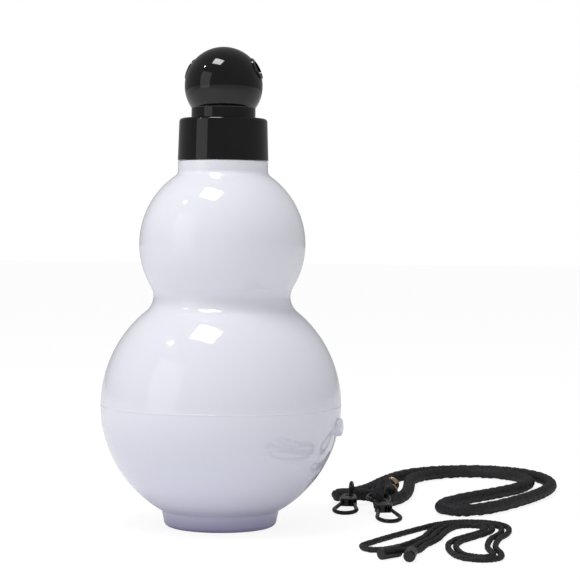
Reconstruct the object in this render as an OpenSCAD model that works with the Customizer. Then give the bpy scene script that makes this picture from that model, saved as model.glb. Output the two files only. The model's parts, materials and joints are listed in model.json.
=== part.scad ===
// Gourd water bottle: a blow-moulded double-globe body, a screw collar with a drinking spout, a ball lid
// that screws over the spout, and, laid beside it, its rope strap with two snap hooks and its thin tie cord.
// Millimetres, +Z up, origin at the middle of the foot, on the surface that the bottle stands on.

/* [Bottle body] */
// Radius of the lower globe
lower_r = 60; // [56:0.5:64]
// Radius of the upper globe
upper_r = 41.5; // [39:0.5:44]
// Height from the lower globe's centre to the upper globe's centre
globe_step = 80.2; // [76:0.2:84]
// Gap from the table to the lower globe's lowest point
globe_lift = 0.3; // [0:0.1:2]
// Radius of the hollow fillet round the waist
waist_fillet = 9.5; // [6:0.5:12]
// Thickness of the moulded wall
wall = 1.8; // [1.2:0.1:2.4]
// Radius of the foot ring
foot_r = 28.2; // [26:0.2:31]
// How much wider the foot ring is at its top
foot_flare = 0.8; // [0:0.1:2]
// Rounding of the foot ring's lower edge
foot_corner = 3; // [1:0.25:4]
// Radius of the hollow under the foot
punt_r = 21; // [17:0.5:22]
// Depth of the hollow under the foot
punt_h = 5; // [2:0.5:8]
// Radius of the plain neck under the collar
neck_r = 22.5; // [21.5:0.25:24]
// Height of the plain neck that shows under the collar
neck_h = 6.5; // [4:0.5:10]
// Radius of the side lugs
lug_r = 4.5; // [3:0.25:6]
// How far the side lugs stand out
lug_h = 2.6; // [1:0.2:4]
// Height of the side lugs below the lower globe's centre
lug_drop = 9.5; // [0:0.5:16]

/* [Neck finish and collar] */
// Radius of the threaded mouth, at the root of its thread
finish_r = 17.4; // [16:0.1:18]
// Height of the threaded mouth above its shoulder
finish_h = 16.4; // [13:0.2:20]
// Radial room for the thread between mouth and collar
thread_room = 1.7; // [1:0.1:2]
// Radius of the collar at its lower edge
collar_r = 22.65; // [22:0.05:24]
// How much narrower the collar is at its top
collar_taper = 0.65; // [0:0.05:1.2]
// Thickness of the collar's top plate
collar_top = 2.5; // [2:0.1:4]
// Rounding of the collar's top edge
collar_corner = 1.5; // [0.5:0.1:2.2]
// Thickness of the collar's seal
collar_seal_h = 2; // [1.2:0.1:3]
// Depth of the ring that centres the collar in the mouth
plug_h = 4; // [2:0.5:6]
// Thickness of the centring ring
plug_wall = 1.2; // [0.8:0.1:1.8]

/* [Drinking spout and ball lid] */
// Outer radius of the spout, at the root of its thread
spout_r = 12.2; // [11:0.1:12.6]
// Thickness of the spout's wall
spout_wall = 2.2; // [1.5:0.1:3]
// Height of the spout above the collar
spout_h = 13.4; // [10:0.2:14]
// Radial room for the thread between spout and lid
lid_thread_room = 1; // [0.6:0.1:1.2]
// Radius of the ball
ball_r = 19.5; // [18.5:0.25:22]
// Height of the ball's centre above the collar
ball_rise = 16.5; // [15.5:0.25:20]
// Radius of the ball's neck
ball_neck_r = 16; // [15.5:0.1:17]
// Thickness of the ball's shell
ball_wall = 2.7; // [2:0.1:3]
// Thickness of the liner's side wall
liner_wall = 1.4; // [1:0.1:1.8]
// Thickness of the liner's top
liner_top = 1.8; // [1.2:0.1:2.2]
// Thickness of the lid's seal
lid_seal_h = 1.2; // [0.8:0.1:1.6]
// Radius of the cord hole through the ball
cord_hole_r = 3.5; // [2.5:0.25:4]
// Height of the cord hole above the ball's centre
cord_hole_rise = 8.5; // [7:0.25:9.5]
// Wall round the cord hole, inside the ball
cord_tube_wall = 1.6; // [1:0.1:2]
// How far the rim of the cord hole stands out of the ball
cord_rim_h = 0.6; // [0.2:0.1:1.2]

/* [Rope strap] */
// Diameter of the rope
rope_d = 7; // [6:0.25:7.25]
// Length of the metal end caps
ferrule_l = 8; // [6:0.5:12]
// Wall of the metal end caps
ferrule_wall = 0.65; // [0.4:0.05:0.8]
// Thickness of the closed end of the metal end caps
ferrule_end = 1.3; // [0.8:0.1:2]

/* [Snap hooks] */
// Radius of the swivel ring, to the middle of its wire
ring_r = 5.6; // [5.4:0.1:6.2]
// Thickness of the swivel ring's wire
ring_wire = 2; // [1.6:0.1:2.2]
// Radius of the swivel post
post_r = 1.1; // [0.9:0.05:1.3]
// Radial running clearance of the post and the gate pin
run_fit = 0.06; // [0.03:0.01:0.1]
// Thickness of the hook's head
head_t = 4.2; // [3.8:0.1:5]
// Thickness of the hook's bow
bow_wire = 2.1; // [1.8:0.1:2.4]
// Radius of the hook's bow, to the middle of its wire
bow_r = 5.9; // [5.2:0.1:7]
// Distance from the gate pin to the middle of the bow
bow_reach = 14.6; // [12:0.2:18]
// Length of the nose that the gate closes on
nose_l = 2.6; // [1.5:0.1:4]
// Gap between the gate and the nose
gate_gap = 0.25; // [0.15:0.05:0.4]
// Thickness of the gate's bar
gate_wire = 1.9; // [1.5:0.1:2.1]
// Radius of the gate pin
pin_r = 0.6; // [0.5:0.05:0.7]
// Thickness of the gate's eye
gate_eye_t = 1.1; // [0.8:0.1:1.3]
// Thickness of the gate spring's wire
spring_wire = 0.34; // [0.28:0.01:0.36]

/* [Tie cord] */
// Diameter of the thin cord
cord_d = 3; // [2.5:0.1:3.1]
// Length of the sleeves on the cord's ends
sleeve_l = 12; // [9:0.5:14]
// Wall of the sleeves
sleeve_wall = 1.2; // [0.8:0.1:1.4]

/* [Layout] */
// Turn of the strap and cord about the bottle's axis, as they are laid beside it
lay_turn = 13; // [0:1:20]
// Gap between the lower globe and the nearest edge of the strap's hook
lay_gap = 0; // [0:1:20]

/* [Hidden] */

$fn = 96;
eps = 0.01;
seat_gap = 0.3;       // between pieces that touch when the bottle is closed
slip = 0.1;           // radial room round pieces that slide in
rim_round = 0.6;      // rounding of moulded rims
blend = 0.002;        // how far a fillet's circle runs into the outlines that it joins
foot_fillet = 2;
neck_fillet = 3;
bead_r = 0.5;         // faint bead of the mould's parting line
bead_out = 0.15;

// Heights on the bottle's axis
lower_z = lower_r + globe_lift;
upper_z = lower_z + globe_step;
neck_z = upper_z + sqrt(upper_r * upper_r - neck_r * neck_r);
shoulder_z = neck_z + neck_h;
rim_z = shoulder_z + finish_h;
collar_z = shoulder_z + seat_gap;
ceiling_z = rim_z + seat_gap + collar_seal_h;
collar_top_z = ceiling_z + collar_top;
spout_z = collar_top_z + spout_h;
ball_z = collar_top_z + ball_rise;
lid_z = collar_top_z + seat_gap;

// Radii that follow from those that they fit
foot_top_r = foot_r + foot_flare;
foot_top_z = lower_z - sqrt(pow(lower_r + foot_fillet, 2) - pow(foot_top_r + foot_fillet, 2));
mouth_r = finish_r - wall;
collar_bore_r = finish_r + thread_room;
plug_r = mouth_r - seat_gap;
spout_bore_r = spout_r - spout_wall;
lid_bore_r = spout_r + lid_thread_room;
liner_r = lid_bore_r + liner_wall;
liner_top_z = spout_z + seat_gap + lid_seal_h + liner_top;
cord_tube_r = cord_hole_r + cord_tube_wall;
cord_hole_z = ball_z + cord_hole_rise;

// Hook sizes, along the hook from the middle of its swivel ring
ring_out = ring_r + ring_wire / 2;
post_flange_t = 0.6;
post_flange_r = post_r + 0.8;
collar_u = ring_out + post_flange_t + 0.2;
collar_l = 2.5;
window_u = collar_u + collar_l;
window_l = 1.8;
rivet_r = 1.9;
rivet_t = 1.1;
rail_t = 1.1;
window_v = rivet_r + 0.15;
pin_v = 2.35;
eye_r = pin_r + 1.3;
slot_r = eye_r + 0.25;
pin_u = window_u + window_l + 1.1 + slot_r;
lobe_r = 2.2;
slot_half = head_t / 2 - 0.65;
bow_u = pin_u + bow_reach;
hook_reach = bow_u + bow_r;
leg_d = norm([bow_reach, pin_v]);
leg_turn = asin(bow_r / leg_d) - atan2(pin_v, bow_reach);
leg_l = sqrt(leg_d * leg_d - bow_r * bow_r);
bow_half_turn = 90 + leg_turn;
gate_l = leg_l - nose_l - gate_gap;

// Routes in the layout's own frame: x to the right, y away from the viewer, z up.
// The strap runs from its first end cap, through the first ring, round and back to the second.
rope_z = rope_d / 2;
low = 3.5;            // height of a 7 mm rope that lies on the table
rope_route = [
    [92.6, 126, 4.3], [90.05, 118.1, 4.3], [87.4, 112.2, 3.9], [84.4, 106, low], [82.3, 99.5, low],
    [81.5, 93, low], [80.8, 87, 3.6], [79.2, 82.2, 4.2], [76.8, 78.2, 4.9], [74, 75, 5.6], [71.2, 72.9, 6],
    [67.9, 72, 6.2], [64.6, 72.9, 6], [61.8, 75.4, 5.5], [60.7, 79.4, 4.7], [61.6, 84, 3.9],
    [65, 90.5, low], [69.5, 96.5, low], [74.5, 103.5, low], [77.8, 111, low], [80.8, 119, low],
    [83.5, 128, low], [87, 139, low], [93.5, 157, low], [102, 175, low], [114, 189.5, low],
    [130, 199, low], [147, 202, low], [162, 198, low], [174, 187, low], [182, 171, low], [185, 153, low],
    [184, 133, low], [178, 112, low], [168.5, 90, low], [156, 67.5, low], [144, 49.5, low],
    [133, 37.5, low], [122.5, 34, low], [115, 39.5, low], [115, 51, low], [122, 66.5, low],
    [134.5, 83.5, low], [150, 102, low], [164, 122, low], [172, 141, low], [173.5, 157, low],
    [169.5, 174, low], [160, 186.5, low], [146, 192, low], [132, 189.5, low], [120.5, 181.5, low],
    [111, 169.5, low], [105, 153, low], [103, 133, low], [101, 112, low], [98.3, 93, low],
    [94, 78, low], [88, 65, low], [84.3, 56, low], [82.4, 49.6, low], [81.4, 45.8, 5.1], [81, 44.2, 9],
    [81.4, 45.8, 13], [82.4, 49.6, 14.6], [84.4, 56.5, 14.6], [85.6, 64, 13.4], [86.6, 72, 11.4],
    [87.5, 79.5, 8.4], [88.5, 85.6, 6.2], [89.95, 93.9, 4.9],
];
// The thin cord is folded up: three strands down the left, four over the top, two and two down the right.
flat = 1.5;           // height of a 3 mm cord that lies on the table
tie_route = concat([[76.4, -97.8, 2.9], [84.2, -90, 2.9], [88.2, -83.4, 2]], [for (p = [
    [91, -75], [94, -65], [101.4, -46.4], [104.8, -33], [108.5, -19], [112.5, -8.6],
    [119, -2.2], [126.5, -0.8], [132, -3.8], [134.6, -9.5], [134.4, -16], [132.4, -23.5], [127.6, -33],
    [116, -52.5], [111.8, -68], [112.3, -86], [115, -93.5], [120.3, -97.3], [125, -95], [126.8, -88.5],
    [126.3, -69], [130.3, -46], [134.8, -34.5], [138, -23], [138.9, -12], [137.2, -4.3], [133.3, 0.8],
    [127, 2.9], [118.6, 1.4], [110.6, -5], [105, -17.5], [101.2, -32], [97.8, -45.1], [89, -64],
    [83.5, -72.5], [78.7, -77.8], [74, -80], [70, -77.5], [68.3, -71], [70.2, -64], [84.4, -39],
    [100.5, -13.5], [107.6, -3.2], [117, 5], [127, 6.8], [135.2, 4.4], [140.6, -2.4], [142.6, -11.5],
    [141.6, -23], [138.4, -35], [134, -47], [130, -69], [130.5, -88], [129, -97.5], [125, -102.2],
    [119.5, -103.4], [112.8, -99.8], [108.8, -90], [108, -69], [112.4, -51], [124.4, -31.3],
    [129, -22], [130.8, -15.3], [130.6, -10.5], [128, -6], [123.5, -4.6], [119.3, -6.4], [115.6, -11.5],
    [112, -21], [108.4, -34], [105, -47.6], [97.8, -66], [95.3, -75.5],
]) [p[0], p[1], flat]], [[92.6, -85, 2], [89.6, -92.5, 2.9], [88, -103.4, 2.9]]);

lay_x = lower_r - 60 + lay_gap;
ring_a_at = [67.9, 71.7, 6.7];
ring_b_at = [81.1, 44.1, 8.1];
hook_a_heading = -98;
hook_b_heading = -82;

// Sweeps a round tube of the given number of sides along a route
function unit(v) = v / norm(v);
function tangent(route, i) =
    unit(route[min(i + 1, len(route) - 1)] - route[max(i - 1, 0)]);
function across(n, t) = unit(n - (n * t) * t);
function side_vectors(route) = [
    for (i = 0, n = across([0.1, 0.2, 1], tangent(route, 0));
         i < len(route);
         i = i + 1, n = i < len(route) ? across(n, tangent(route, i)) : n)
    n
];
module tube(route, d, sides) {
    normals = side_vectors(route);
    rings = len(route);
    points = [
        for (i = [0:rings - 1])
        let (t = tangent(route, i), n = normals[i], b = cross(t, n))
        for (k = [0:sides - 1])
        route[i] + d / 2 * (cos(360 * k / sides) * n + sin(360 * k / sides) * b)
    ];
    faces = [
        [for (k = [0:sides - 1]) k],
        [for (k = [0:sides - 1]) rings * sides - 1 - k],
        for (i = [0:rings - 2]) for (k = [0:sides - 1])
        let (a = i * sides + k, c = i * sides + (k + 1) % sides)
        each [[a, a + sides, c + sides], [a, c + sides, c]],
    ];
    polyhedron(points, faces);
}

// The least gap between stretches of a route that aren't next to each other
function least_gap(route, d, skip) =
    min([for (i = [0:len(route) - 1 - skip]) for (k = [i + skip:len(route) - 1]) norm(route[i] - route[k])]) - d;

// Stands its children on a point, with their Z axis along a direction
module along(at, direction) {
    translate(at)
        rotate([0, acos(direction[2] / norm(direction)), atan2(direction[1], direction[0])])
        children();
}

module laid_out() {
    rotate([0, 0, lay_turn]) translate([lay_x, 0, 0]) children();
}

// Fills the hollow corner round centre c with a fillet, on to outlines that hold the points from and to
module hollow_corner(c, radius, from, to) {
    difference() {
        polygon([from, c, to]);
        translate(c) circle(radius + blend);
    }
}

// Half outline of the gourd, drawn in by an inset, up to the shoulder
module gourd(inset) {
    waist_d = [lower_r + waist_fillet, upper_r + waist_fillet];
    waist_rise = (globe_step * globe_step + waist_d[0] * waist_d[0] - waist_d[1] * waist_d[1])
        / (2 * globe_step);
    waist_c = [sqrt(waist_d[0] * waist_d[0] - waist_rise * waist_rise), lower_z + waist_rise];
    neck_c = [neck_r + neck_fillet,
        upper_z + sqrt(pow(upper_r + neck_fillet, 2) - pow(neck_r + neck_fillet, 2))];
    foot_c = [foot_top_r + foot_fillet, foot_top_z];
    top_z = shoulder_z - inset;
    intersection() {
        union() {
            translate([0, lower_z]) circle(lower_r - inset);
            translate([0, upper_z]) circle(upper_r - inset);
            hollow_corner(waist_c, waist_fillet + inset, [0, lower_z], [0, upper_z]);
            translate([0, upper_z]) square([neck_r - inset, top_z - upper_z]);
            hollow_corner(neck_c, neck_fillet + inset, [0, upper_z], [0, neck_c[1]]);
            hollow_corner(foot_c, foot_fillet + inset, [0, foot_c[1]], [0, lower_z]);
            polygon([[0, foot_corner], [foot_r - inset, foot_corner], [foot_top_r - inset, foot_top_z],
                [0, foot_top_z]]);
            translate([0, inset]) square([foot_r - foot_corner, foot_corner]);
            translate([foot_r - foot_corner, foot_corner]) circle(foot_corner - min(inset, foot_corner - 0.5));
        }
        translate([0, inset]) square(4 * lower_r);
    }
}

// The dome under the foot, as a circle that reaches the given height above the table
module punt(skin) {
    dome_r = (punt_r * punt_r + punt_h * punt_h) / (2 * punt_h);
    translate([0, punt_h - dome_r]) circle(dome_r + skin);
}

// Rounds an outer corner at [r, z]: what is cut away between the corner and its circle
module round_off(r, z, radius) {
    difference() {
        translate([r - radius, z - radius]) square([radius + 1, radius + 1]);
        translate([r - radius, z - radius]) circle(radius);
    }
}

module lug(side) {
    face = sqrt(lower_r * lower_r - lug_drop * lug_drop);
    rotate([0, side * 90, 0]) translate([side * (lug_drop - lower_z), 0, face - wall]) rotate_extrude()
        difference() {
            square([lug_r, wall + lug_h]);
            round_off(lug_r, wall + lug_h, min(1.6, lug_h));
        }
}

module bottle_body() {
    color([0.86, 0.87, 0.92])
        difference() {
            union() {
                rotate_extrude() difference() {
                    union() {
                        gourd(0);
                        translate([0, shoulder_z - wall]) square([finish_r, finish_h + wall]);
                        translate([lower_r - bead_r + bead_out, lower_z]) circle(bead_r, $fn = 24);
                    }
                    punt(0);
                    round_off(neck_r, shoulder_z, rim_round);
                    round_off(finish_r, rim_z, rim_round);
                    translate([-2 * lower_r, -lower_r]) square([2 * lower_r, 6 * lower_r]);
                }
                for (side = [-1, 1]) lug(side);
            }
            rotate_extrude() difference() {
                union() {
                    gourd(wall);
                    translate([0, shoulder_z - 2 * wall]) square([mouth_r, finish_h + 3 * wall]);
                }
                punt(wall);
                translate([-2 * lower_r, -lower_r]) square([2 * lower_r, 6 * lower_r]);
            }
        }
}

// Screw collar: a capped sleeve over the mouth, with the spout that one drinks from
module screw_collar() {
    top_r = collar_r - collar_taper;
    color([0.03, 0.03, 0.035])
        rotate_extrude() difference() {
            union() {
                difference() {
                    polygon([[0, collar_z], [collar_r, collar_z], [top_r, collar_top_z], [0, collar_top_z]]);
                    round_off(top_r, collar_top_z, collar_corner);
                    translate([0, collar_z - eps]) square([collar_bore_r, ceiling_z - collar_z + eps]);
                }
                translate([0, ceiling_z - plug_h]) square([plug_r, plug_h + eps]);
                translate([0, collar_top_z - eps]) square([spout_r, spout_h + eps]);
            }
            round_off(spout_r, spout_z, rim_round);
            translate([0, ceiling_z - plug_h - eps]) square([plug_r - plug_wall, plug_h]);
            translate([0, ceiling_z - 1]) square([spout_bore_r, spout_h + collar_top + 2]);
        }
}

module collar_seal() {
    color([0.78, 0.8, 0.82])
        translate([0, 0, ceiling_z - collar_seal_h]) difference() {
            cylinder(r = collar_bore_r - slip, h = collar_seal_h - 0.02);
            translate([0, 0, -1]) cylinder(r = plug_r + slip, h = collar_seal_h + 2);
        }
}

// Ball of the lid, hollow, with a neck that holds the threaded liner and a tube for the cord
module ball_shell() {
    neck_c = [ball_neck_r + 1, ball_z - sqrt(pow(ball_r + 1, 2) - pow(ball_neck_r + 1, 2))];
    tube_x = ball_r + cord_rim_h;
    color([0.03, 0.03, 0.035])
        difference() {
            union() {
                rotate_extrude() difference() {
                    union() {
                        translate([0, ball_z]) circle(ball_r);
                        translate([0, lid_z]) square([ball_neck_r, ball_z - lid_z]);
                        hollow_corner(neck_c, 1, [0, neck_c[1]], [0, ball_z]);
                    }
                    translate([0, ball_z]) circle(ball_r - ball_wall);
                    translate([0, lid_z - ball_r]) square([2 * ball_r, ball_r]);
                    translate([0, lid_z - 1]) square([liner_r, ball_z - lid_z]);
                    translate([-2 * ball_r, lid_z - ball_r]) square([2 * ball_r, 4 * ball_r]);
                }
                intersection() {
                    translate([0, 0, ball_z]) sphere(tube_x);
                    translate([-tube_x, 0, cord_hole_z]) rotate([0, 90, 0])
                        cylinder(r = cord_tube_r, h = 2 * tube_x);
                }
            }
            translate([-tube_x - 1, 0, cord_hole_z]) rotate([0, 90, 0])
                cylinder(r = cord_hole_r, h = 2 * tube_x + 2);
        }
}

// Threaded liner, pressed into the ball's neck
module ball_liner() {
    color([0.08, 0.08, 0.09])
        rotate_extrude() difference() {
            translate([0, lid_z]) square([liner_r, liner_top_z - lid_z]);
            translate([0, lid_z - 1]) square([lid_bore_r, liner_top_z - liner_top - lid_z + 1]);
            round_off(liner_r, liner_top_z, rim_round);
        }
}

module lid_seal() {
    color([0.78, 0.8, 0.82])
        translate([0, 0, spout_z + seat_gap]) difference() {
            cylinder(r = lid_bore_r - slip, h = lid_seal_h - 0.02);
            translate([0, 0, -1]) cylinder(r = spout_bore_r - rim_round, h = lid_seal_h + 2);
        }
}

module strap_rope() {
    color([0.05, 0.05, 0.06]) laid_out() tube(rope_route, rope_d, 12);
}

// Metal cap that is crimped on an end of the rope, with a groove round it
module ferrule(end, before) {
    outer_r = rope_d / 2 + slip / 2 + ferrule_wall;
    inside = ferrule_l - ferrule_end;
    direction = end - before;
    color([0.83, 0.66, 0.4]) laid_out() along(end - (inside - slip) * unit(direction), direction)
        rotate_extrude() difference() {
            square([outer_r, ferrule_l]);
            translate([0, -1]) square([rope_d / 2 + slip / 2, inside + 1]);
            round_off(outer_r, ferrule_l, rim_round);
            translate([outer_r + 0.35, inside - 1]) circle(0.6, $fn = 24);
        }
}
module ferrule_a() {
    ferrule(rope_route[0], rope_route[1]);
}
module ferrule_b() {
    ferrule(rope_route[len(rope_route) - 1], rope_route[len(rope_route) - 2]);
}

// A hook's own frame: x from the ring to the tip, z up, tilted so that its tip lies on the table
module at_hook(at, heading) {
    tilt = asin((at[2] - bow_wire / 2 - slip) / hook_reach);
    laid_out() translate(at) rotate([0, tilt, heading]) children();
}
module bar(from, to, d) {
    along(from, to - from) cylinder(d = d, h = norm(to - from));
}

module swivel_eye(roll) {
    color([0.1, 0.1, 0.11]) {
        rotate([roll, 0, 0]) rotate_extrude() translate([ring_r, 0]) circle(d = ring_wire, $fn = 32);
        rotate([0, 90, 0]) rotate_extrude() union() {
            translate([0, ring_r]) square([post_r, window_u + 0.3 + rivet_t - ring_r]);
            translate([0, ring_out]) square([post_flange_r, post_flange_t]);
            translate([0, window_u + 0.3]) square([rivet_r, rivet_t]);
        }
    }
}

// Outline of the hook's head, seen from above
module head_outline() {
    hull() {
        translate([collar_u + 1, -window_v - rail_t + 0.6]) circle(0.6);
        translate([collar_u + 1, window_v + rail_t - 0.6]) circle(0.6);
        translate([pin_u, -pin_v]) circle(lobe_r);
        translate([pin_u, pin_v]) circle(lobe_r);
    }
}

module hook_frame() {
    leg = (leg_l + 0.25) * [cos(leg_turn), sin(leg_turn)];
    leg_wire = bow_wire - 0.02;
    nose_from = leg_l - nose_l;
    color([0.1, 0.1, 0.11])
        difference() {
            union() {
                difference() {
                    union() {
                        translate([0, 0, -head_t / 2]) linear_extrude(head_t) head_outline();
                        translate([collar_u, 0, 0]) rotate([0, 90, 0]) cylinder(r = head_t / 2, h = collar_l);
                    }
                    translate([window_u, -window_v, -head_t]) cube([window_l, 2 * window_v, 2 * head_t]);
                    translate([pin_u, pin_v, -slot_half]) cylinder(r = slot_r, h = 2 * slot_half);
                    translate([pin_u, pin_v - slot_r, -slot_half]) cube([2 * lobe_r, 3 * lobe_r, 2 * slot_half]);
                }
                bar([pin_u + 0.8, -pin_v - 0.8 * tan(leg_turn), 0],
                    [pin_u + leg[0], -pin_v - leg[1], 0], leg_wire);
                translate([bow_u, 0, 0]) rotate([0, 0, -bow_half_turn])
                    rotate_extrude(angle = 2 * bow_half_turn)
                    translate([bow_r, 0]) circle(d = bow_wire, $fn = 32);
                bar([pin_u + nose_from * cos(leg_turn), pin_v + nose_from * sin(leg_turn), 0],
                    [pin_u + leg[0], pin_v + leg[1], 0], leg_wire);
            }
            translate([collar_u - 1, 0, 0]) rotate([0, 90, 0]) cylinder(r = post_r + run_fit, h = collar_l + 2);
            translate([pin_u, pin_v, -head_t]) cylinder(r = pin_r, h = 2 * head_t);
        }
}

module gate_pin() {
    color([0.16, 0.16, 0.17])
        translate([pin_u, pin_v, -head_t / 2]) cylinder(r = pin_r, h = head_t);
}

// Spring gate: an eye on the pin, and a bar that closes on the nose
module gate() {
    eye_z = -slot_half + 0.1;
    color([0.12, 0.12, 0.13])
        translate([pin_u, pin_v, 0]) rotate([0, 0, leg_turn]) difference() {
            union() {
                translate([0, 0, eye_z]) linear_extrude(gate_eye_t) union() {
                    circle(eye_r);
                    translate([0, -gate_wire / 2]) square([eye_r + 2, gate_wire]);
                }
                translate([eye_r, 0, 0]) rotate([0, 90, 0]) cylinder(d = gate_wire, h = gate_l - eye_r);
            }
            translate([0, 0, -head_t]) cylinder(r = pin_r + run_fit, h = 2 * head_t);
        }
}

// Torsion spring round the pin, above the gate's eye, with short straight ends
module gate_spring() {
    coil_r = pin_r + 0.5;
    low_z = -slot_half + 0.1 + gate_eye_t + 0.12 + spring_wire / 2;
    high_z = slot_half - 0.12 - spring_wire / 2;
    turns = (high_z - low_z) / (spring_wire + 0.42);
    steps = floor(8 * turns);
    end_l = 2 * spring_wire;
    coil = [for (i = [0:steps])
        let (a = 360 * turns * i / steps)
        [coil_r * cos(a), coil_r * sin(a), low_z + (high_z - low_z) * i / steps]];
    last = 360 * turns;
    route = concat(
        [[coil_r, -end_l, low_z]],
        coil,
        [[coil_r * cos(last) - end_l * sin(last), coil_r * sin(last) + end_l * cos(last), high_z]]);
    color([0.5, 0.5, 0.52])
        translate([pin_u, pin_v, 0]) rotate([0, 0, leg_turn + 180]) tube(route, spring_wire, 6);
}

module swivel_eye_a() { at_hook(ring_a_at, hook_a_heading) swivel_eye(90); }
module hook_frame_a() { at_hook(ring_a_at, hook_a_heading) hook_frame(); }
module gate_pin_a() { at_hook(ring_a_at, hook_a_heading) gate_pin(); }
module gate_a() { at_hook(ring_a_at, hook_a_heading) gate(); }
module gate_spring_a() { at_hook(ring_a_at, hook_a_heading) gate_spring(); }
module swivel_eye_b() { at_hook(ring_b_at, hook_b_heading) swivel_eye(0); }
module hook_frame_b() { at_hook(ring_b_at, hook_b_heading) hook_frame(); }
module gate_pin_b() { at_hook(ring_b_at, hook_b_heading) gate_pin(); }
module gate_b() { at_hook(ring_b_at, hook_b_heading) gate(); }
module gate_spring_b() { at_hook(ring_b_at, hook_b_heading) gate_spring(); }

module tie_cord() {
    echo(least_gap_of_the_cord = least_gap(tie_route, cord_d, 6));
    color([0.05, 0.05, 0.055]) laid_out() tube(tie_route, cord_d, 8);
}

// Sleeve shrunk over an end of the cord
module sleeve(end, before) {
    outer_r = cord_d / 2 + slip / 2 + sleeve_wall;
    inside = sleeve_l - 1.5;
    direction = end - before;
    color([0.04, 0.04, 0.045]) laid_out() along(end - (inside - slip) * unit(direction), direction)
        rotate_extrude() difference() {
            square([outer_r, sleeve_l]);
            translate([0, -1]) square([cord_d / 2 + slip / 2, inside + 1]);
            round_off(outer_r, sleeve_l, 0.9);
        }
}
module cord_sleeve_a() {
    sleeve(tie_route[0], tie_route[1]);
}
module cord_sleeve_b() {
    sleeve(tie_route[len(tie_route) - 1], tie_route[len(tie_route) - 2]);
}

bottle_body();
screw_collar();
collar_seal();
ball_shell();
ball_liner();
lid_seal();
strap_rope();
ferrule_a();
ferrule_b();
swivel_eye_a();
hook_frame_a();
gate_pin_a();
gate_a();
gate_spring_a();
swivel_eye_b();
hook_frame_b();
gate_pin_b();
gate_b();
gate_spring_b();
tie_cord();
cord_sleeve_a();
cord_sleeve_b();
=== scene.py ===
"""Looks of the gourd water bottle, its rope strap and its tie cord.

Everything is in the frame of the CAD, in metres unless a comment says otherwise.
"""

import json
import math

import bpy
import numpy as np
from mathutils import Matrix, Vector

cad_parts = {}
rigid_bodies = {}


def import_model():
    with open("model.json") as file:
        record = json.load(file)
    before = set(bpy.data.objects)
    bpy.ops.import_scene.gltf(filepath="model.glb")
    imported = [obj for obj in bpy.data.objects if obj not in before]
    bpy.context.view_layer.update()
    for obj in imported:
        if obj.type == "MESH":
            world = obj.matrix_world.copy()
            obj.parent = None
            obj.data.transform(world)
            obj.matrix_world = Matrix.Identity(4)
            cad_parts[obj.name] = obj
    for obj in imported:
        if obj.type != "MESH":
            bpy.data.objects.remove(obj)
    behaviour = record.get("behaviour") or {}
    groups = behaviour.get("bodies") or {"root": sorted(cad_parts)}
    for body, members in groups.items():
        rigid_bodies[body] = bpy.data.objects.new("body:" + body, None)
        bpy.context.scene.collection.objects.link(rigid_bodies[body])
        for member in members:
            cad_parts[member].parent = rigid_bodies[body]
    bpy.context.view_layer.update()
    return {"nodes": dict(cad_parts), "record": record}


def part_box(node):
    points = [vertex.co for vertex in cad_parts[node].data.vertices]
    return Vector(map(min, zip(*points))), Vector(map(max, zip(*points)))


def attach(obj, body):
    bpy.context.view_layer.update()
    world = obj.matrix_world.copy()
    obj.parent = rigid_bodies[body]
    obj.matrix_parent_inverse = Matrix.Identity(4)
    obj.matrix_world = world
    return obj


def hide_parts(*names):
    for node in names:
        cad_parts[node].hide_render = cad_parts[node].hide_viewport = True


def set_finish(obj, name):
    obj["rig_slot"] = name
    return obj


MM = 0.001
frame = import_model()
NODES = frame["nodes"]

# Layout frame: the frame of the photograph, turned about the bottle's axis
LAY_TURN = math.radians(13)

# Camera: level, with its window shifted down, in the layout frame
CAMERA_AT = (33.75 * MM, -930 * MM, 143 * MM)
CAMERA_ROLL = math.radians(0.46)
PHOTO_PX = 580
FOCAL_PX = 1860
HORIZON_PX = 239.6
SENSOR_MM = 36
VIEW_END = 100

# Routes, in mm in the layout frame, as in the part's source. A point with no height
# has its line's middle at the low height, which is where the line lies on the table.
ROPE_D = 7
ROPE_LOW = 3.5
ROPE_ROUTE = [
    (92.6, 126, 4.3), (90.05, 118.1, 4.3), (87.4, 112.2, 3.9), (84.4, 106), (82.3, 99.5),
    (81.5, 93), (80.8, 87, 3.6), (79.2, 82.2, 4.2), (76.8, 78.2, 4.9), (74, 75, 5.6),
    (71.2, 72.9, 6), (67.9, 72, 6.2), (64.6, 72.9, 6), (61.8, 75.4, 5.5), (60.7, 79.4, 4.7),
    (61.6, 84, 3.9), (65, 90.5), (69.5, 96.5), (74.5, 103.5), (77.8, 111), (80.8, 119),
    (83.5, 128), (87, 139), (93.5, 157), (102, 175), (114, 189.5), (130, 199), (147, 202),
    (162, 198), (174, 187), (182, 171), (185, 153), (184, 133), (178, 112), (168.5, 90),
    (156, 67.5), (144, 49.5), (133, 37.5), (122.5, 34), (115, 39.5), (115, 51), (122, 66.5),
    (134.5, 83.5), (150, 102), (164, 122), (172, 141), (173.5, 157), (169.5, 174), (160, 186.5),
    (146, 192), (132, 189.5), (120.5, 181.5), (111, 169.5), (105, 153), (103, 133), (101, 112),
    (98.3, 93), (94, 78), (88, 65), (84.3, 56), (82.4, 49.6), (81.4, 45.8, 5.1), (81, 44.2, 9),
    (81.4, 45.8, 13), (82.4, 49.6, 14.6), (84.4, 56.5, 14.6), (85.6, 64, 13.4),
    (86.6, 72, 11.4), (87.5, 79.5, 8.4), (88.5, 85.6, 6.2), (89.95, 93.9, 4.9),
]
CORD_D = 3
CORD_LOW = 1.5
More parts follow.
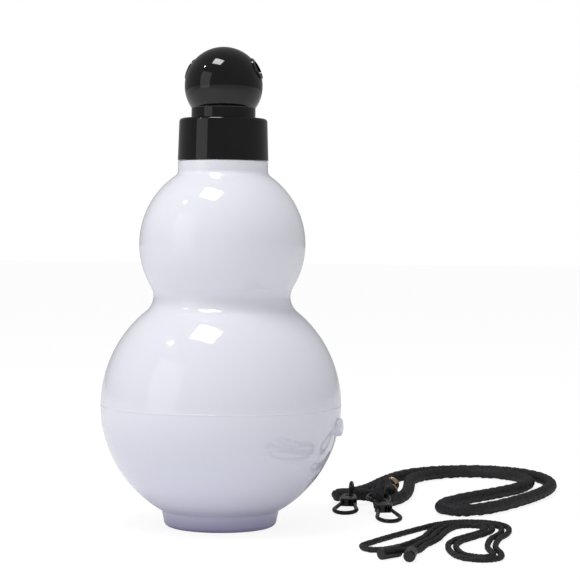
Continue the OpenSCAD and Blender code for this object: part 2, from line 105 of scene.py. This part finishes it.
CORD_ROUTE = [
    (76.4, -97.8, 2.9), (84.2, -90, 2.9), (88.2, -83.4, 2), (91, -75), (94, -65),
    (101.4, -46.4), (104.8, -33), (108.5, -19), (112.5, -8.6), (119, -2.2), (126.5, -0.8),
    (132, -3.8), (134.6, -9.5), (134.4, -16), (132.4, -23.5), (127.6, -33), (116, -52.5),
    (111.8, -68), (112.3, -86), (115, -93.5), (120.3, -97.3), (125, -95), (126.8, -88.5),
    (126.3, -69), (130.3, -46), (134.8, -34.5), (138, -23), (138.9, -12), (137.2, -4.3),
    (133.3, 0.8), (127, 2.9), (118.6, 1.4), (110.6, -5), (105, -17.5), (101.2, -32),
    (97.8, -45.1), (89, -64), (83.5, -72.5), (78.7, -77.8), (74, -80), (70, -77.5), (68.3, -71),
    (70.2, -64), (84.4, -39), (100.5, -13.5), (107.6, -3.2), (117, 5), (127, 6.8), (135.2, 4.4),
    (140.6, -2.4), (142.6, -11.5), (141.6, -23), (138.4, -35), (134, -47), (130, -69),
    (130.5, -88), (129, -97.5), (125, -102.2), (119.5, -103.4), (112.8, -99.8), (108.8, -90),
    (108, -69), (112.4, -51), (124.4, -31.3), (129, -22), (130.8, -15.3), (130.6, -10.5),
    (128, -6), (123.5, -4.6), (119.3, -6.4), (115.6, -11.5), (112, -21), (108.4, -34),
    (105, -47.6), (97.8, -66), (95.3, -75.5), (92.6, -85, 2), (89.6, -92.5, 2.9),
    (88, -103.4, 2.9),
]

# Braid: the core and a strand's half thickness as parts of the rope's radius, how much
# of the way round the strands fill, and in half thicknesses how deep they sit and weave
CORE = 0.8
STRAND_THICK = 0.13
STRAND_FILL = 0.93
STRAND_DEEP = 1.9
STRAND_WEAVE = 0.75
CORE_SIDES = 10
STRAND_SIDES = 6

# Screw threads: a ridge's half width, the part of it that the crest keeps, how far it
# runs into the wall, and the part of its length that it takes to reach full height
THREAD_HALF = 0.00085
THREAD_CREST = 0.35
THREAD_IN = 0.0002
THREAD_RUN_IN = 1 / 8
THREAD_LEAST = 0.02
THREAD_STEPS = 60

FLOOR_SIZE = 20
LIGHTS_FACE = (0, 0, 0.12)


def lay_turn(size):
    return Matrix.Rotation(LAY_TURN, size, "Z")


def laid(points, low):
    """Layout millimetres as row metres; a point with no height is at the low one."""
    turn = lay_turn(3)
    return np.array([turn @ Vector((*p, low)[:3]) * MM for p in points])


def smooth(points, step):
    """A smooth line through the points, with a point about every step."""
    p = np.vstack([2 * points[0] - points[1], points, 2 * points[-1] - points[-2]])
    line = []
    for i in range(1, len(p) - 2):
        count = max(2, int(np.linalg.norm(p[i + 1] - p[i]) / step))
        for t in np.arange(count) / count:
            a = 2 * p[i]
            b = p[i + 1] - p[i - 1]
            c = 2 * p[i - 1] - 5 * p[i] + 4 * p[i + 1] - p[i + 2]
            d = 3 * p[i] - p[i - 1] - 3 * p[i + 1] + p[i + 2]
            line.append((a + b * t + c * t * t + d * t ** 3) / 2)
    line.append(p[-2])
    return np.array(line)


def directions(line):
    """The line's own direction at each of its points."""
    along = np.gradient(line, axis=0)
    along /= np.linalg.norm(along, axis=1)[:, None]
    return along


def line_frames(line):
    """Two directions across the line at each of its points, and the distance along it."""
    along = directions(line)
    side = np.zeros_like(line)
    v = np.array([0.1, 0.2, 1.0])
    for i, t in enumerate(along):
        v = v - np.dot(v, t) * t
        v /= np.linalg.norm(v)
        side[i] = v
    up = np.cross(along, side)
    run = np.concatenate([[0], np.cumsum(np.linalg.norm(np.diff(line, axis=0), axis=1))])
    return side, up, run


def link(name, data):
    obj = bpy.data.objects.new(name, data)
    bpy.context.scene.collection.objects.link(obj)
    return obj


def mesh_object(name, verts, faces, body, slot):
    """A smooth-shaded piece that rides on a body and takes a slot's material."""
    mesh = bpy.data.meshes.new(name)
    mesh.from_pydata([tuple(v) for v in verts], [], faces)
    mesh.validate()
    mesh.update()
    mesh.polygons.foreach_set("use_smooth", [True] * len(mesh.polygons))
    obj = link(name, mesh)
    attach(obj, body)
    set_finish(obj, slot)
    return obj


def tube_along(line, side, up, radii, sides, verts, faces):
    """Adds a closed tube round a line; radii are its half widths along side and up."""
    first = len(verts)
    last = first + (len(line) - 1) * sides
    angles = 2 * np.pi * np.arange(sides) / sides
    for p, s, u in zip(line, side, up):
        for a in angles:
            verts.append(p + radii[0] * math.cos(a) * s + radii[1] * math.sin(a) * u)
    for ring in range(first, last, sides):
        for k in range(sides):
            a = ring + k
            b = ring + (k + 1) % sides
            faces.append((a, b, b + sides, a + sides))
    faces.append(tuple(first + k for k in reversed(range(sides))))
    faces.append(tuple(last + k for k in range(sides)))


def braid(name, line, d, strands, pitch, body, slot):
    """A braided rope: strands wind both ways, over and under each other, round a core."""
    side, up, run = line_frames(line)
    r = d / 2 * MM
    thick = STRAND_THICK * r
    width = STRAND_FILL * math.pi * r / strands
    verts, faces = [], []
    tube_along(line, side, up, (CORE * r, CORE * r), CORE_SIDES, verts, faces)
    for way, phase in ((1, 0), (-1, np.pi)):
        for s in range(strands):
            turn = way * 2 * np.pi * run / pitch + 2 * np.pi * s / strands
            weave = np.cos(strands * 2 * np.pi * run / pitch + phase + np.pi * s)
            out = np.cos(turn)[:, None] * side + np.sin(turn)[:, None] * up
            reach = r - STRAND_DEEP * thick + STRAND_WEAVE * thick * weave
            path = line + reach[:, None] * out
            across = np.cross(out, directions(path))
            tube_along(path, across, out, (width, thick), STRAND_SIDES, verts, faces)
    return mesh_object(name, verts, faces, body, slot)


def make_camera():
    cam = bpy.data.cameras.new("camera")
    cam.sensor_width = SENSOR_MM
    cam.lens = FOCAL_PX / PHOTO_PX * SENSOR_MM
    cam.shift_y = (HORIZON_PX - PHOTO_PX / 2) / PHOTO_PX
    cam.clip_end = VIEW_END
    obj = link("camera", cam)
    upright = Matrix.Rotation(math.radians(90), 4, "X")
    roll = Matrix.Rotation(CAMERA_ROLL, 4, "Z")
    obj.matrix_world = lay_turn(4) @ Matrix.Translation(CAMERA_AT) @ upright @ roll
    bpy.context.scene.camera = obj


def make_rope():
    line = smooth(laid(ROPE_ROUTE, ROPE_LOW), 0.0011)
    rope = braid("braided_rope", line, ROPE_D, 8, 0.016, "strap", "rope")
    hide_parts("strap_rope")


def make_cord():
    line = smooth(laid(CORD_ROUTE, CORD_LOW), 0.0008)
    cord = braid("braided_cord", line, CORD_D, 6, 0.007, "cord", "cord")
    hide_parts("tie_cord")


def thread(name, body, slot, low, wall, crest, lead, starts, turns):
    """A screw thread: ridges that wind up a wall, from its radius to the crest's."""
    verts, faces = [], []
    steps = int(THREAD_STEPS * turns)
    high = low + lead * turns
    flat = THREAD_HALF * THREAD_CREST
    foot = wall - THREAD_IN * (1 if crest > wall else -1)
    for s in range(starts):
        base = len(verts)
        for i in range(steps + 1):
            t = i / steps
            a = 2 * math.pi * (turns * t + s / starts)
            z = low + (high - low) * t
            rise = max(min(1, t / THREAD_RUN_IN, (1 - t) / THREAD_RUN_IN), THREAD_LEAST)
            tip = wall + (crest - wall) * rise
            for r, dz in ((foot, -THREAD_HALF), (tip, -flat), (tip, flat), (foot, THREAD_HALF)):
                verts.append((r * math.cos(a), r * math.sin(a), z + dz))
        for ring in range(base, base + 4 * steps, 4):
            for k in range(4):
                p = ring + k
                q = ring + (k + 1) % 4
                faces.append((p, q, q + 4, p + 4))
        faces.append((base + 3, base + 2, base + 1, base))
        faces.append(tuple(base + 4 * steps + k for k in range(4)))
    mesh_object(name, verts, faces, body, slot)


def make_threads():
    """The collar's screw on the mouth, and the ball lid's on the spout."""
    screw = {"lead": 12 * MM, "starts": 3, "turns": 0.75}
    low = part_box("bottle_body")[1][2] - 11.5 * MM
    thread("mouth_thread", "bottle", "shell", low,
           wall=17.4 * MM, crest=18.75 * MM, **screw)
    thread("collar_thread", "collar", "black_plastic", low - 3.4 * MM,
           wall=19.1 * MM, crest=17.75 * MM, **screw)
    screw = {"lead": 8 * MM, "starts": 2, "turns": 0.8}
    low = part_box("screw_collar")[1][2] - 8.4 * MM
    thread("spout_thread", "collar", "black_plastic", low,
           wall=12.2 * MM, crest=12.95 * MM, **screw)
    thread("lid_thread", "ball_lid", "liner", low - 2.6 * MM,
           wall=13.2 * MM, crest=12.45 * MM, **screw)


def linear(r, g, b):
    """An sRGB colour of 0 to 255 as linear values."""
    values = [((c / 255 + 0.055) / 1.055) ** 2.4 if c > 10 else c / 255 / 12.92
              for c in (r, g, b)]
    return tuple(values) + (1,)


def material(name):
    mat = bpy.data.materials.new(name)
    mat.use_nodes = True
    tree = mat.node_tree
    return mat, tree, tree.nodes["Principled BSDF"]


def add_noise(tree, scale, detail=4):
    noise = tree.nodes.new("ShaderNodeTexNoise")
    noise.inputs["Scale"].default_value = scale
    noise.inputs["Detail"].default_value = detail
    where = tree.nodes.new("ShaderNodeTexCoord")
    tree.links.new(where.outputs["Object"], noise.inputs["Vector"])
    return noise.outputs["Fac"]


def add_bump(tree, bsdf, height, strength, distance):
    bump = tree.nodes.new("ShaderNodeBump")
    bump.inputs["Strength"].default_value = strength
    bump.inputs["Distance"].default_value = distance
    tree.links.new(height, bump.inputs["Height"])
    tree.links.new(bump.outputs["Normal"], bsdf.inputs["Normal"])


def add_colour(tree, bsdf, value, stops):
    """The base colour follows a value, through a ramp of colours."""
    ramp = tree.nodes.new("ShaderNodeValToRGB")
    while len(ramp.color_ramp.elements) < len(stops):
        ramp.color_ramp.elements.new(0.5)
    for element, (place, colour) in zip(ramp.color_ramp.elements, stops):
        element.position = place
        element.color = linear(*colour)
    tree.links.new(value, ramp.inputs["Fac"])
    tree.links.new(ramp.outputs["Color"], bsdf.inputs["Base Color"])


def add_roughness(tree, bsdf, value, low, high):
    """The roughness follows a value, between two limits."""
    spread = tree.nodes.new("ShaderNodeMapRange")
    spread.inputs["To Min"].default_value = low
    spread.inputs["To Max"].default_value = high
    tree.links.new(value, spread.inputs["Value"])
    tree.links.new(spread.outputs["Result"], bsdf.inputs["Roughness"])


def noisy(name, low, high, scale, rough, bump, metallic=0.0, coat=0.0):
    """A material whose colour and roughness wander a little between two values."""
    mat, tree, bsdf = material(name)
    noise = add_noise(tree, scale)
    add_colour(tree, bsdf, noise, [(0.35, low), (0.65, high)])
    add_roughness(tree, bsdf, noise, *rough)
    bsdf.inputs["Metallic"].default_value = metallic
    bsdf.inputs["Coat Weight"].default_value = coat
    add_bump(tree, bsdf, noise, bump, 0.0002)
    return mat


def shell_with_painted_foot_shade():
    """Milky, glossy plastic, painted darker and more blue-violet towards the foot: painted shade
    and painted refraction of darker surroundings, over the plastic's own faint blue-violet tint.
    """
    mat, tree, bsdf = material("milky_shell_painted_foot_shade")
    where = tree.nodes.new("ShaderNodeTexCoord")
    split = tree.nodes.new("ShaderNodeSeparateXYZ")
    tree.links.new(where.outputs["Object"], split.inputs["Vector"])
    height = tree.nodes.new("ShaderNodeMapRange")
    height.inputs["From Max"].default_value = 0.2
    tree.links.new(split.outputs["Z"], height.inputs["Value"])
    # Colour by height: the dark blue-violet foot is painted shade and painted refraction, only
    # partly the plastic's own tint; the colour gets a little lighter towards the top.
    add_colour(tree, bsdf, height.outputs["Result"], [
        (0.0, (158, 153, 190)), (0.035, (196, 194, 214)), (0.07, (214, 214, 228)),
        (0.3, (228, 229, 238)), (1.0, (232, 233, 240)),
    ])
    noise = add_noise(tree, 18, 2)
    add_roughness(tree, bsdf, noise, 0.06, 0.12)
    bsdf.inputs["Subsurface Weight"].default_value = 0.35
    bsdf.inputs["Subsurface Radius"].default_value = (0.008, 0.008, 0.01)
    bsdf.inputs["Coat Weight"].default_value = 0.3
    bsdf.inputs["Coat Roughness"].default_value = 0.03
    add_bump(tree, bsdf, noise, 0.04, 0.0005)
    return mat


# Each slot's material: name, two sRGB colours, scale of its noise, range of roughness,
# strength of its bump, and where it has them how metallic and how coated it is
FINISHES = {
    "black_plastic": ("gloss_black", (4, 4, 5), (12, 12, 14), 60, (0.04, 0.09), 0.02),
    "seal": ("silicone", (205, 208, 212), (216, 219, 222), 90, (0.4, 0.5), 0.1),
    "liner": ("satin_black", (20, 20, 22), (30, 30, 33), 90, (0.3, 0.4), 0.08),
    "rope": ("rope_black", (14, 14, 16), (34, 34, 38), 900, (0.5, 0.8), 0.5),
    "cord": ("cord_black", (12, 12, 14), (30, 30, 34), 1500, (0.5, 0.8), 0.4),
    "gold_metal": ("gold_plate", (196, 158, 104), (222, 188, 136), 160, (0.16, 0.3), 0.08, 1.0),
    "black_metal": ("black_plate", (20, 20, 22), (38, 38, 42), 200, (0.16, 0.3), 0.06, 0.8, 0.4),
    "pin_steel": ("pin_steel", (130, 130, 134), (170, 170, 174), 300, (0.2, 0.35), 0.1, 1.0),
    "spring_steel": ("spring_wire", (150, 150, 154), (190, 190, 194), 300, (0.2, 0.3), 0.1, 1.0),
    "sleeve": ("sleeve_black", (10, 10, 12), (22, 22, 24), 300, (0.3, 0.5), 0.15),
}


def paint():
    """Gives the CAD's pieces and the visual ones the materials of their slots."""
    made = {"shell": shell_with_painted_foot_shade()}
    for slot, finish in FINISHES.items():
        made[slot] = noisy(*finish)
    slots = {s["node"]: s["material_slot"] for s in frame["record"]["subparts"]}
    for node, obj in NODES.items():
        obj.data.materials.clear()
        obj.data.materials.append(made[slots[node]])
    for obj in bpy.data.objects:
        if obj.type == "MESH" and obj.get("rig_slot") and obj.name not in NODES:
            obj.data.materials.append(made[obj["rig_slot"]])


def by_ray(tree, shown, glossy, other):
    """A brightness by kind of ray: seen or seen through something, mirrored, any other."""
    rays = tree.nodes.new("ShaderNodeLightPath")
    mirrored = tree.nodes.new("ShaderNodeMix")
    mirrored.inputs["A"].default_value = other
    mirrored.inputs["B"].default_value = glossy
    tree.links.new(rays.outputs["Is Glossy Ray"], mirrored.inputs["Factor"])
    seen = tree.nodes.new("ShaderNodeMath")
    seen.operation = "MAXIMUM"
    tree.links.new(rays.outputs["Is Camera Ray"], seen.inputs[0])
    tree.links.new(rays.outputs["Is Transmission Ray"], seen.inputs[1])
    final = tree.nodes.new("ShaderNodeMix")
    final.inputs["B"].default_value = shown
    tree.links.new(seen.outputs["Value"], final.inputs["Factor"])
    tree.links.new(mirrored.outputs["Result"], final.inputs["A"])
    return final.outputs["Result"]


def make_stage():
    """A white surround, and a white floor that keeps a light shadow."""
    world = bpy.data.worlds.new("surround")
    bpy.context.scene.world = world
    world.use_nodes = True
    tree = world.node_tree
    sky = tree.nodes["Background"]
    sky.inputs["Color"].default_value = (1, 1, 1, 1)
    tree.links.new(by_ray(tree, 1.0, 0.3, 0.62), sky.inputs["Strength"])
    bpy.ops.mesh.primitive_plane_add(size=FLOOR_SIZE)
    floor = bpy.context.object
    floor.name = "floor"
    mat, tree, bsdf = material("white_floor")
    bsdf.inputs["Base Color"].default_value = (0.9, 0.9, 0.92, 1)
    bsdf.inputs["Roughness"].default_value = 0.9
    bsdf.inputs["Specular IOR Level"].default_value = 0.0
    glow = tree.nodes.new("ShaderNodeEmission")
    glow.inputs["Strength"].default_value = 1.08
    mix = tree.nodes.new("ShaderNodeMixShader")
    tree.links.new(by_ray(tree, 0.8, 0.0, 0.0), mix.inputs["Fac"])
    tree.links.new(bsdf.outputs["BSDF"], mix.inputs[1])
    tree.links.new(glow.outputs["Emission"], mix.inputs[2])
    tree.links.new(mix.outputs["Shader"], tree.nodes["Material Output"].inputs["Surface"])
    floor.data.materials.append(mat)


def area_light(name, direction, distance, size, power):
    """A soft box in a direction of the layout frame, that faces the bottle's middle."""
    light = bpy.data.lights.new(name, "AREA")
    light.shape = "RECTANGLE"
    light.size, light.size_y = size
    light.energy = power
    obj = link(name, light)
    to = lay_turn(3) @ Vector(direction).normalized()
    obj.location = Vector(LIGHTS_FACE) + to * distance
    obj.rotation_euler = to.to_track_quat("Z", "Y").to_euler()


def make_lights():
    area_light("window", (-0.2, -0.27, 0.94), 1.2, (0.44, 0.34), 6)
    area_light("lamp", (-0.65, -0.155, 0.743), 1.2, (0.06, 0.06), 0.8)
    area_light("left_fill", (-1, -0.7, 0.35), 1.6, (0.9, 1.2), 2.5)


make_camera()
make_rope()
make_cord()
make_threads()
paint()
make_stage()
make_lights()
bpy.context.scene.view_settings.view_transform = "Standard"
